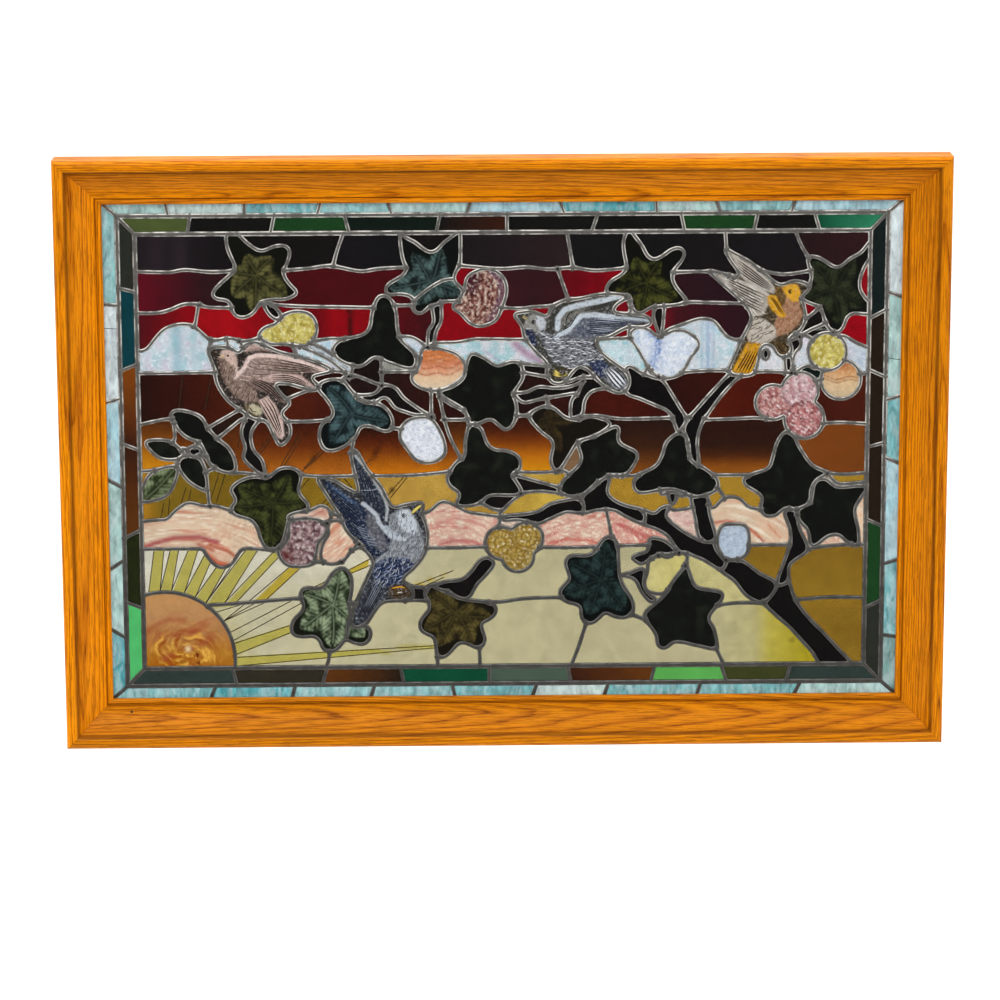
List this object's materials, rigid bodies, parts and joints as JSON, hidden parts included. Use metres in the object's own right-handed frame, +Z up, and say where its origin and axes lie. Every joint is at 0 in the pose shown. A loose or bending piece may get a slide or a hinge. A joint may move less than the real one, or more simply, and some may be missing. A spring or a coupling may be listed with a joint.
{
  "type": "stained glass window panel",
  "caption": "Leaded stained glass panel in a moulded oak frame: songbirds, ivy and fruit on branches over a banded sunset sky, in a double border of glass tiles.",
  "frame": {"origin": "middle of the frame's flat top edge, from which the panel hangs or is fastened under a lintel", "axes": "+X to the right seen from the front, +Y out of the back, +Z up; the front faces -Y"},
  "size_m": [1.15, 0.048, 0.776],
  "materials": {
    "oak": "golden oak moulding, satin varnish",
    "lead": "soft grey lead came with tinned solder joints",
    "branch_glass": "near-black brown glass",
    "dark_leaf_glass": "black-green glass",
    "olive_leaf_glass": "streaky olive glass, painted veins",
    "teal_leaf_glass": "streaky teal glass, painted veins",
    "green_leaf_glass": "streaky green glass, painted veins",
    "umber_leaf_glass": "brown-olive glass, painted veins",
    "bird_glass": "pale glass with painted feathers",
    "fruit_glass": "mottled opalescent glass",
    "sky_glass": "streaky brown to amber cathedral glass",
    "ground_glass": "pale khaki and yellow glass with thin painted lines",
    "sun_glass": "marbled orange glass",
    "turquoise_glass": "rippled pale turquoise glass",
    "border_glass": "dark green, teal and brown border tiles"
  },
  "bodies": {
    "root": {"top_rail": "oak", "bottom_rail": "oak", "left_stile": "oak", "right_stile": "oak", "edge_came": "lead", "border_came": "lead", "leading": "lead", "outer_border": "turquoise_glass", "inner_border": "border_glass", "trunk_foot": "branch_glass", "trunk_middle": "branch_glass", "trunk_top": "branch_glass", "bough_right": "branch_glass", "bough_left": "branch_glass", "upright_bough": "branch_glass", "ivy_leaf_1": "olive_leaf_glass", "ivy_leaf_3": "olive_leaf_glass", "ivy_leaf_4": "olive_leaf_glass", "ivy_leaf_6": "olive_leaf_glass", "ivy_leaf_2": "teal_leaf_glass", "ivy_leaf_5": "teal_leaf_glass", "ivy_leaf_9": "teal_leaf_glass", "ivy_leaf_7": "green_leaf_glass", "ivy_leaf_8": "umber_leaf_glass", "ivy_leaf_10": "umber_leaf_glass", "dark_leaf_1": "dark_leaf_glass", "dark_leaf_2": "dark_leaf_glass", "dark_leaf_3": "dark_leaf_glass", "dark_leaf_4": "dark_leaf_glass", "dark_leaf_5": "dark_leaf_glass", "dark_leaf_6": "dark_leaf_glass", "dark_leaf_7": "dark_leaf_glass", "dark_leaf_8": "dark_leaf_glass", "sprig_3": "dark_leaf_glass", "pink_songbird": "bird_glass", "grey_songbird": "bird_glass", "gold_songbird": "bird_glass", "blue_songbird": "bird_glass", "plum": "fruit_glass", "pear": "fruit_glass", "peach": "fruit_glass", "quince": "fruit_glass", "orange": "fruit_glass", "lime": "fruit_glass", "berries": "fruit_glass", "blossom": "fruit_glass", "plum_nugget": "fruit_glass", "shell_nugget": "fruit_glass", "roundels": "fruit_glass", "oval_nugget": "fruit_glass", "sun": "sun_glass", "ground_pane_1": "ground_glass", "ground_pane_2": "ground_glass", "ground_pane_3": "ground_glass", "ground_pane_4": "ground_glass", "ground_pane_5": "ground_glass", "gold_pane_1": "ground_glass", "gold_pane_2": "ground_glass", "brown_pane": "sky_glass", "amber_pane": "sky_glass"}
  },
  "joints": []
}
